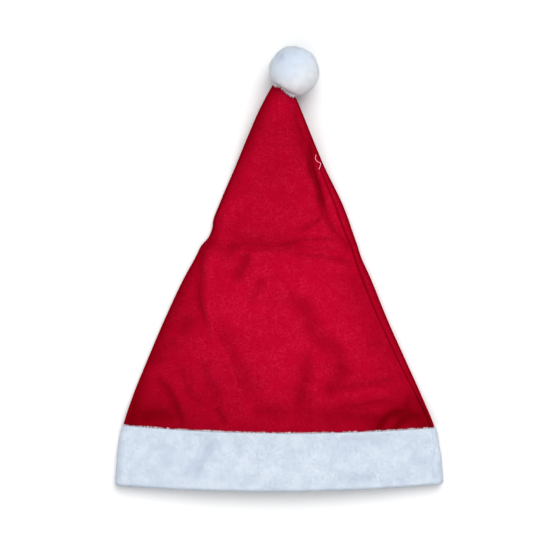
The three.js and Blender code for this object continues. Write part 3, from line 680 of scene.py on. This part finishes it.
def pile_tree():
    """Tufts of pile, scattered over a mesh and leaning the way that its lay points."""
    tree = bpy.data.node_groups.new("pile", "GeometryNodeTree")
    new, link = tree.nodes.new, tree.links.new
    interface = tree.interface
    interface.new_socket("Geometry", in_out="INPUT", socket_type="NodeSocketGeometry")
    for name, kind in (("Density", "Float"), ("Length", "Float"), ("Radius", "Float"), ("Lean", "Float"),
                       ("Seed", "Int"), ("Material", "Material")):
        interface.new_socket(name, in_out="INPUT", socket_type="NodeSocket" + kind)
    interface.new_socket("Geometry", in_out="OUTPUT", socket_type="NodeSocketGeometry")
    given, result = new("NodeGroupInput").outputs, new("NodeGroupOutput").inputs

    def sum_of(first, second):
        node = new("ShaderNodeVectorMath")
        link(first, node.inputs[0])
        link(second, node.inputs[1])
        return node.outputs[0]

    def scaled(vector, factor):
        node = new("ShaderNodeVectorMath")
        node.operation = "SCALE"
        link(vector, node.inputs[0])
        link(factor, node.inputs["Scale"])
        return node.outputs[0]

    def attribute(name, kind):
        node = new("GeometryNodeInputNamedAttribute")
        node.data_type = kind
        node.inputs["Name"].default_value = name
        return node.outputs["Attribute"]

    def random(kind, low, high, seed):
        node = new("FunctionNodeRandomValue")
        node.data_type = kind
        sockets = [s for s in node.inputs if s.enabled]
        sockets[0].default_value, sockets[1].default_value = low, high
        node.inputs["Seed"].default_value = seed
        return next(s for s in node.outputs if s.enabled)

    cover = new("ShaderNodeMath")
    cover.operation = "MULTIPLY"
    link(given["Density"], cover.inputs[0])
    link(attribute("cover", "FLOAT"), cover.inputs[1])
    scatter = new("GeometryNodeDistributePointsOnFaces")
    link(given["Geometry"], scatter.inputs["Mesh"])
    link(cover.outputs[0], scatter.inputs["Density"])
    link(given["Seed"], scatter.inputs["Seed"])

    leaning = sum_of(scatter.outputs["Normal"], scaled(attribute("lay", "FLOAT_VECTOR"), given["Lean"]))
    stray = random("FLOAT_VECTOR", (-0.45, -0.45, -0.45), (0.45, 0.45, 0.45), 5)
    turn = new("FunctionNodeAlignRotationToVector")
    turn.axis = "Z"
    link(sum_of(leaning, stray), turn.inputs["Vector"])

    tuft = new("GeometryNodeMeshCone")
    tuft.inputs["Vertices"].default_value = 3
    tuft.inputs["Radius Top"].default_value = 0
    tuft.inputs["Radius Bottom"].default_value = 1
    tuft.inputs["Depth"].default_value = 1
    size = new("ShaderNodeCombineXYZ")
    link(given["Radius"], size.inputs[0])
    link(given["Radius"], size.inputs[1])
    link(given["Length"], size.inputs[2])
    instance = new("GeometryNodeInstanceOnPoints")
    link(scatter.outputs["Points"], instance.inputs["Points"])
    link(tuft.outputs["Mesh"], instance.inputs["Instance"])
    link(turn.outputs["Rotation"], instance.inputs["Rotation"])
    link(scaled(size.outputs[0], random("FLOAT", 0.6, 1.25, 9)), instance.inputs["Scale"])
    real = new("GeometryNodeRealizeInstances")
    link(instance.outputs["Instances"], real.inputs["Geometry"])
    soft = new("GeometryNodeSetShadeSmooth")
    link(real.outputs["Geometry"], soft.inputs["Geometry"])
    painted = new("GeometryNodeSetMaterial")
    link(soft.outputs["Geometry"], painted.inputs["Geometry"])
    link(given["Material"], painted.inputs["Material"])
    link(painted.outputs["Geometry"], result["Geometry"])
    return tree


pile = pile_tree()


def grown_pile(name, points, faces, lay, cover, pressed, **sizes):
    """A plain mesh of tufts grown on a surface. lay, cover and the share of painted shade hold
    a value a point.
    """
    skin = finished_mesh(name + "_skin", points, faces, sizes["Material"])
    give_points(skin, "lay", lay)
    give_points(skin, "cover", cover)
    give_points(skin, "pressed", pressed)
    grower = skin.modifiers.new("pile", "NODES")
    grower.node_group = pile
    for item in pile.interface.items_tree:
        if item.in_out == "INPUT" and item.name in sizes:
            grower[item.identifier] = sizes[item.name]
    evaluated = skin.evaluated_get(bpy.context.evaluated_depsgraph_get())
    mesh = bpy.data.meshes.new_from_object(evaluated)
    mesh.name = name
    grown = bpy.data.objects.new(name, mesh)
    bpy.context.scene.collection.objects.link(grown)
    bpy.data.objects.remove(skin)
    return grown


# The strip's pile is brushed towards the hem, with the lay wandering from place to place.
# Along the cut edge at the top it stands out over the felt.
shader = Shader("band_pile")
contour = shader.node("Math", {"operation": "ABSOLUTE"}, {0: shader.noise(0.013, 4.0, 0.7) - 0.5})
vein = 1.0 - shader.between(contour, 0.0, 0.025)
white = shader.clouded(0.009, (0.615, 0.674, 0.757, 1), (0.695, 0.75, 0.818, 1))
white = shader.mix(vein * 0.5, white, shade_and_vein_white)
band_fibre = shader.finish({
    "Base Color": white, "Roughness": 0.95, "Specular IOR Level": 0.1,
    "Sheen Weight": 0.3, "Sheen Roughness": 0.5, "Sheen Tint": (0.95, 0.97, 1.0, 1)})

skin_rows = band_rows[1:outside_profile - 1]
skin_points, skin_faces = lofted(skin_rows, False)
skin_height = skin_points[:, 2]
skin_pressed = np.clip(band_pressed[1:outside_profile - 1].ravel(), 0, 1)
edge_row = np.arange(len(skin_points)) < 3 * skin_rows.shape[1]
wander = roughness_of_cloth(skin_points, 18, 6)
lay = np.stack([0.55 * wander, -1.0 + 0.5 * np.abs(wander), np.zeros_like(wander)], -1)
lay[edge_row] = (0, 0.9, 0.25)
# Fewer tufts grow where shade is painted, so the darker skin shows there
cover = np.where(edge_row, 3.0, 1.0) * (skin_height > 1.2) * (1 - 0.8 * skin_pressed)
band_pile = grown_pile(
    "band_pile", skin_points + to_frame, skin_faces, lay, cover, skin_pressed,
    Density=1.35e6, Length=0.0009, Radius=0.00018, Lean=1.6, Seed=11, Material=band_fibre)
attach(band_pile, "root")

# The cut edge frays over the felt in small white clumps
shader = Shader("frayed_edge")
tone = shader.noise(0.002, 2.0)
frayed_edge = shader.finish({
    "Base Color": shader.mix(tone, (0.93, 0.92, 0.95, 1), (0.98, 0.97, 0.98, 1)), "Roughness": 0.9,
    "Specular IOR Level": 0.1, "Sheen Weight": 0.3, "Sheen Roughness": 0.5})
clumps = smooth(roughness_of_cloth(skin_points, 2.2, 9) * 1.6 + 0.35)
lay[edge_row] = (0, 1.0, 0.15)
cover = clumps * edge_row * (skin_height > 3.5)
band_fringe = grown_pile(
    "band_fringe", skin_points + to_frame, skin_faces, lay, cover, skin_pressed,
    Density=7.0e6, Length=0.0018, Radius=0.00020, Lean=1.5, Seed=12, Material=frayed_edge)
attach(band_fringe, "root")

# Pompom
# A plush cover gathered over a ball of stuffing. Its raw edge is drawn together and sewn
# round the end of the crown, so the ball is flattened and pleated there.

# Places are across the tip, from the tip into the ball, and up, in millimetres
ball_radius = 21.4
ball_centre = np.array((-1.0, 17.5, 1.5))
ball_lump_height, ball_nub_height = 0.8, 0.25
seat_gap = 0.7
seat_rounding = 1.3
seat_pleat_height = 0.35
overhang = 0.7
clear_of_tip = 2.8
pit_middle, pit_reach, pit_depth = -2.5, 3.0, 2.6

# The cover is pleated round its joint, within some degrees of it
joint_way = np.array((1.0, -16.5, -1.5))
pleats, pleat_height = 17, 0.38
gathered_within, gather_fade = 70, 45

# Dimples in the stuffing: the way to each from the ball's centre, and its depth
dimples = [
    ((-0.79, 0.15, 0.59), 1.2),
    ((-1.00, 0.06, 0.02), 0.9),
    ((0.04, 1.00, 0.05), 0.9),
    ((0.55, 0.35, 0.76), 0.5),
]
dimple_reach = 11

tip = section_at(np.array([1.0]))
tip_across = np.array([*tip["across"][0], 0])
tip_along = np.array([-tip_across[1], tip_across[0], 0])
tip_up = np.array([0, 0, 1.0])
tip_centre = np.array([*(tip["left"][0] + tip["across"][0] * tip["width"][0] / 2), tip_middle])

ball_mesh = bmesh.new()
bmesh.ops.create_icosphere(ball_mesh, subdivisions=6, radius=1.0)
unit = np.array([vertex.co for vertex in ball_mesh.verts])
ball_faces = [[vertex.index for vertex in face.verts] for face in ball_mesh.faces]
ball_mesh.free()


def degrees_from(way):
    """Angle at the ball's centre between each of its points and a way out of it."""
    return np.degrees(np.arccos(np.clip(unit @ (way / np.linalg.norm(way)), -1, 1)))


# The ball, with its pleats in a ring round the joint
lumps = roughness_of_cloth(unit, 0.55, 7)
nubs = roughness_of_cloth(unit, 0.17, 8)
to_joint = joint_way / np.linalg.norm(joint_way)
side_way = np.cross(to_joint, tip_up)
side_way /= np.linalg.norm(side_way)
round_joint = np.arctan2(unit @ np.cross(to_joint, side_way), unit @ side_way)
gathered = smooth((gathered_within - degrees_from(joint_way)) / gather_fade)
pleat = np.sin(round_joint * pleats + 2.2 * lumps) * gathered
dimple = sum(depth * fading(degrees_from(way), dimple_reach) for way, depth in dimples)
radius = ball_radius + ball_lump_height * lumps + ball_nub_height * nubs + pleat_height * pleat - dimple
u, w, v = (unit * radius[:, None] + ball_centre).T

# It is flattened against the end of the crown, which it hangs over but for a pit
pit = fading(u - pit_middle, pit_reach) * smooth((12 - v) / 6)
above_crown = smooth((v - clear_of_tip) / 3)
face = seat_gap + above_crown * (pit_depth * pit - overhang * (1 - pit))
face = face + seat_pleat_height * pleat * smooth((np.abs(v) - 3) / 3)
w = face + seat_rounding * np.logaddexp(0, (w - face) / seat_rounding)
ball = tip_centre + np.outer(u, tip_across) + np.outer(w, tip_along) + np.outer(v, tip_up)
ball[:, 2] = np.maximum(ball[:, 2], 0.0)

# Shade is painted on the side away from the seam, which is darker and bluer there
pressed_way = np.array((-0.81, 0.58, 0.0))
pompom_pressed = smooth((unit @ pressed_way + 0.9) / 1.9)
shader = Shader("pompom_plush")
white = shader.clouded(0.008, (0.87, 0.90, 0.97, 1), (0.90, 0.925, 0.98, 1))
# Painted shade: darker and bluer where shade is painted on the ball
white = shader.mix(shader.attribute("pressed"), white, (0.61, 0.68, 0.78, 1))
nap = shader.noise(0.0016, 3.0, 0.6)
pompom_plush = shader.finish({
    "Base Color": white, "Roughness": 0.9, "Normal": shader.bump(nap, 0.3, 0.0006),
    "Specular IOR Level": 0.1,
    "Subsurface Weight": 1.0, "Subsurface Radius": (0.025, 0.025, 0.026), "Subsurface Scale": 1.0,
    "Sheen Weight": 0.2, "Sheen Roughness": 0.5, "Sheen Tint": (0.95, 0.97, 1.0, 1)})
pompom = finished_mesh("plush_pompom", ball + to_frame, ball_faces, pompom_plush)
# Each point carries its share of painted shade, which the plush's colour reads
give_points(pompom, "pressed", pompom_pressed)
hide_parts("pompom")
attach(pompom, "root")

swirl = np.stack([roughness_of_cloth(unit, 0.8, seed) for seed in (12, 13, 14)], -1)
off_floor = ball[:, 2] >= 2.4
pompom_pile = grown_pile(
    "pompom_pile", ball + to_frame, ball_faces, swirl, off_floor, pompom_pressed,
    Density=2.5e6, Length=0.0014, Radius=0.00009, Lean=0.9, Seed=21, Material=pompom_plush)
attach(pompom_pile, "root")

# The raw edge of the cover, which frays where it is sewn to the crown
fringe_depth, fringe_top, fringe_half_width, fringe_fade = 3.6, 7.5, 11.5, 1.5
along_face = smooth((fringe_depth - w) / fringe_fade) * smooth(v - clear_of_tip)
along_face = along_face * smooth((fringe_top - v) / fringe_fade)
along_face = along_face * smooth((fringe_half_width - np.abs(u)) / fringe_fade)
ragged = smooth(roughness_of_cloth(unit, 0.12, 15) * 1.5 + 0.6)
over_crown = np.outer(np.full(len(unit), -1.0), tip_along) + 0.5 * swirl + np.array((0, 0, 0.55))
joint_fringe = grown_pile(
    "joint_fringe", ball + to_frame, ball_faces, over_crown, along_face * ragged, pompom_pressed,
    Density=8.0e6, Length=0.0036, Radius=0.00036, Lean=1.3, Seed=31, Material=frayed_edge)
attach(joint_fringe, "root")

# Loose thread
# The end of a sewing thread that lies on the felt beside the side seam. It is a thin
# twisted strand, paler than the felt, in a loose hook.

thread_radius = 0.3
thread_sides = 6
thread_line = np.array([(31.6, 293.0), (31.2, 289.6), (33.4, 286.9), (35.8, 285.5), (34.2, 280.3)])
path = spline(thread_line, 40)
upper = outer[:, :front_count].reshape(-1, 3)
heights = np.array([upper[np.argmin(np.hypot(*(upper[:, :2] - p).T)), 2] for p in path])
path = np.column_stack([path, heights + thread_radius])
ahead = np.gradient(path, axis=0)
ahead /= np.linalg.norm(ahead, axis=1, keepdims=True)
aside = np.cross(ahead, tip_up)
aside /= np.linalg.norm(aside, axis=1, keepdims=True)
over = np.cross(aside, ahead)
angles = np.linspace(0, 2 * np.pi, thread_sides + 1)[:-1]
rings = np.array([p + thread_radius * (np.outer(np.cos(angles), a) + np.outer(np.sin(angles), o))
                  for p, a, o in zip(path, aside, over)])
thread_points, thread_faces = lofted(rings, False)
thread_faces.append(list(range(thread_sides))[::-1])
thread_faces.append([len(thread_points) - thread_sides + i for i in range(thread_sides)])
shader = Shader("pale_thread")
twist = shader.noise(0.0006, 2.0)
pale_thread = shader.finish({
    "Base Color": shader.mix(twist, (0.85, 0.50, 0.55, 1), (0.95, 0.75, 0.77, 1)), "Roughness": 0.8})
thread = finished_mesh("loose_thread", thread_points + to_frame, thread_faces, pale_thread)
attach(thread, "root")

# Floor
# A plain white table, lit so brightly that only the soft shadow round the hat shows.

shader = Shader("light_table")
grain = shader.noise(0.05, 2.0)
light_table = shader.finish({
    "Base Color": shader.mix(grain, (0.88, 0.88, 0.88, 1), (0.90, 0.90, 0.90, 1)), "Roughness": 0.9})
floor_half, floor_level = 8000, -0.05
floor_corners = [
    (x * floor_half, y * floor_half, floor_level) for x, y in ((-1, -1), (1, -1), (1, 1), (-1, 1))]
floor = finished_mesh("floor", floor_corners, [[0, 1, 2, 3]], light_table)

# Light and camera
# A wide lamp high beyond the tip, a weaker one beyond the hem, an even white room, and a
# long lens straight above.

scene = bpy.context.scene
scene.view_settings.view_transform = "Standard"
scene.view_settings.look = "High Contrast"
world = bpy.data.worlds.new("white_room")
world.use_nodes = True
room_light = world.node_tree.nodes["Background"].inputs
room_light["Color"].default_value = (1, 1, 1, 1)
room_light["Strength"].default_value = 0.38
scene.world = world


def lamp(name, azimuth, elevation, strength, angle):
    """A distant lamp, its place in the sky and its width in degrees."""
    light = bpy.data.lights.new(name, "SUN")
    light.energy, light.angle = strength, math.radians(angle)
    placed = bpy.data.objects.new(name, light)
    a, e = math.radians(azimuth), math.radians(elevation)
    placed.rotation_mode = "QUATERNION"
    placed.rotation_quaternion = Vector(
        (math.cos(a) * math.cos(e), math.sin(a) * math.cos(e), math.sin(e))).to_track_quat("Z", "Y")
    scene.collection.objects.link(placed)


lamp("key", 74, 61, 1.34, 50)
lamp("fill", 255, 50, 0.42, 60)

# The photo's scale holds at hat_level. Both heights are in metres above the table, and the
# middle of the view is in millimetres above the hem.
photo_width = 560
millimetres_per_pixel = 0.88
middle_of_view = 183.04
camera_height = 4.0
hat_level = 0.010
view_width = photo_width * millimetres_per_pixel / 1000
lens = bpy.data.cameras.new("camera")
lens.lens = lens.sensor_width * (camera_height - hat_level) / view_width
lens.clip_start, lens.clip_end = 0.1, 40
camera = bpy.data.objects.new("camera", lens)
camera.location = (to_frame[0] / 1000, (to_frame[1] + middle_of_view) / 1000, camera_height)
scene.collection.objects.link(camera)
scene.camera = camera
